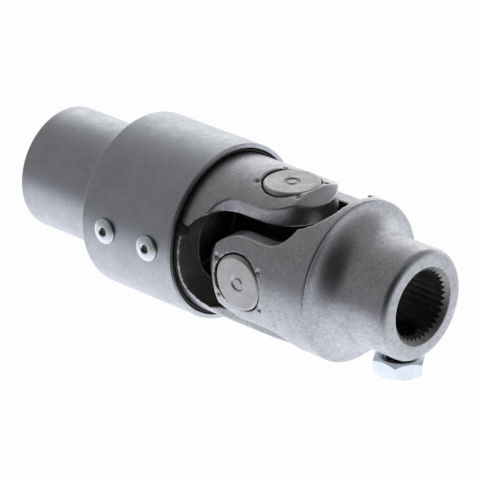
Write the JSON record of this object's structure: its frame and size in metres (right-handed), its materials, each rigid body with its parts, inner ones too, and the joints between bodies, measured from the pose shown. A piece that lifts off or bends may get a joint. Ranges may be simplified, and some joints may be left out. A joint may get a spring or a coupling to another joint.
{
  "type": "steering universal joint",
  "caption": "Steering shaft universal joint with a rubber-cushioned plain-bore coupling on one yoke and a serrated bore with a set screw on the other.",
  "frame": {"origin": "centre of the mouth of the plain bore in the reducer's neck", "axes": "+X along the shaft line towards the serrated hub, +Z along the pin of the reducer's yoke"},
  "size_m": [0.129, 0.0504, 0.0478],
  "materials": {
    "machined_steel": "bead blasted and machined, satin",
    "bearing_cap_steel": "pressed and hardened, matt",
    "bright_zinc": "bright zinc plated",
    "ground_steel": "ground",
    "black_oxide_steel": "black oxide",
    "black_rubber": "moulded and bonded",
    "nylon": "moulded"
  },
  "bodies": {
    "reducer": {"reducer_hub": "machined_steel", "reducer_sleeve": "machined_steel", "bush_shell": "machined_steel", "rubber_isolator": "black_rubber", "rivet_front_1": "bright_zinc", "rivet_rear_1": "bright_zinc", "rivet_front_2": "bright_zinc", "rivet_rear_2": "bright_zinc"},
    "inner_yoke": {"reducer_yoke": "machined_steel", "cap_upper": "bearing_cap_steel", "needles_upper": "ground_steel", "thrust_disc_upper": "nylon", "cap_lower": "bearing_cap_steel", "needles_lower": "ground_steel", "thrust_disc_lower": "nylon"},
    "cross": {"cross": "machined_steel", "seal_upper": "black_rubber", "seal_lower": "black_rubber", "seal_front": "black_rubber", "seal_rear": "black_rubber"},
    "hub_yoke": {"hub_yoke": "machined_steel", "set_screw": "black_oxide_steel", "jam_nut": "bright_zinc", "cap_front": "bearing_cap_steel", "needles_front": "ground_steel", "thrust_disc_front": "nylon", "cap_rear": "bearing_cap_steel", "needles_rear": "ground_steel", "thrust_disc_rear": "nylon"}
  },
  "joints": [
    {"name": "damper_twist", "type": "hinge", "parent": "reducer", "child": "inner_yoke", "pos_m": [0.0852, 0, 0], "axis": [1, 0, 0], "range_deg": [-4, 4], "stiffness_Nm_per_rad": 40, "deforming": ["rubber_isolator"]},
    {"name": "reducer_pin", "type": "hinge", "parent": "inner_yoke", "child": "cross", "pos_m": [0.0852, 0, 0], "axis": [0, 0, 1], "range_deg": [-30, 30]},
    {"name": "hub_pin", "type": "hinge", "parent": "cross", "child": "hub_yoke", "pos_m": [0.0852, 0, 0], "axis": [0, 1, 0], "range_deg": [-30, 30]}
  ]
}
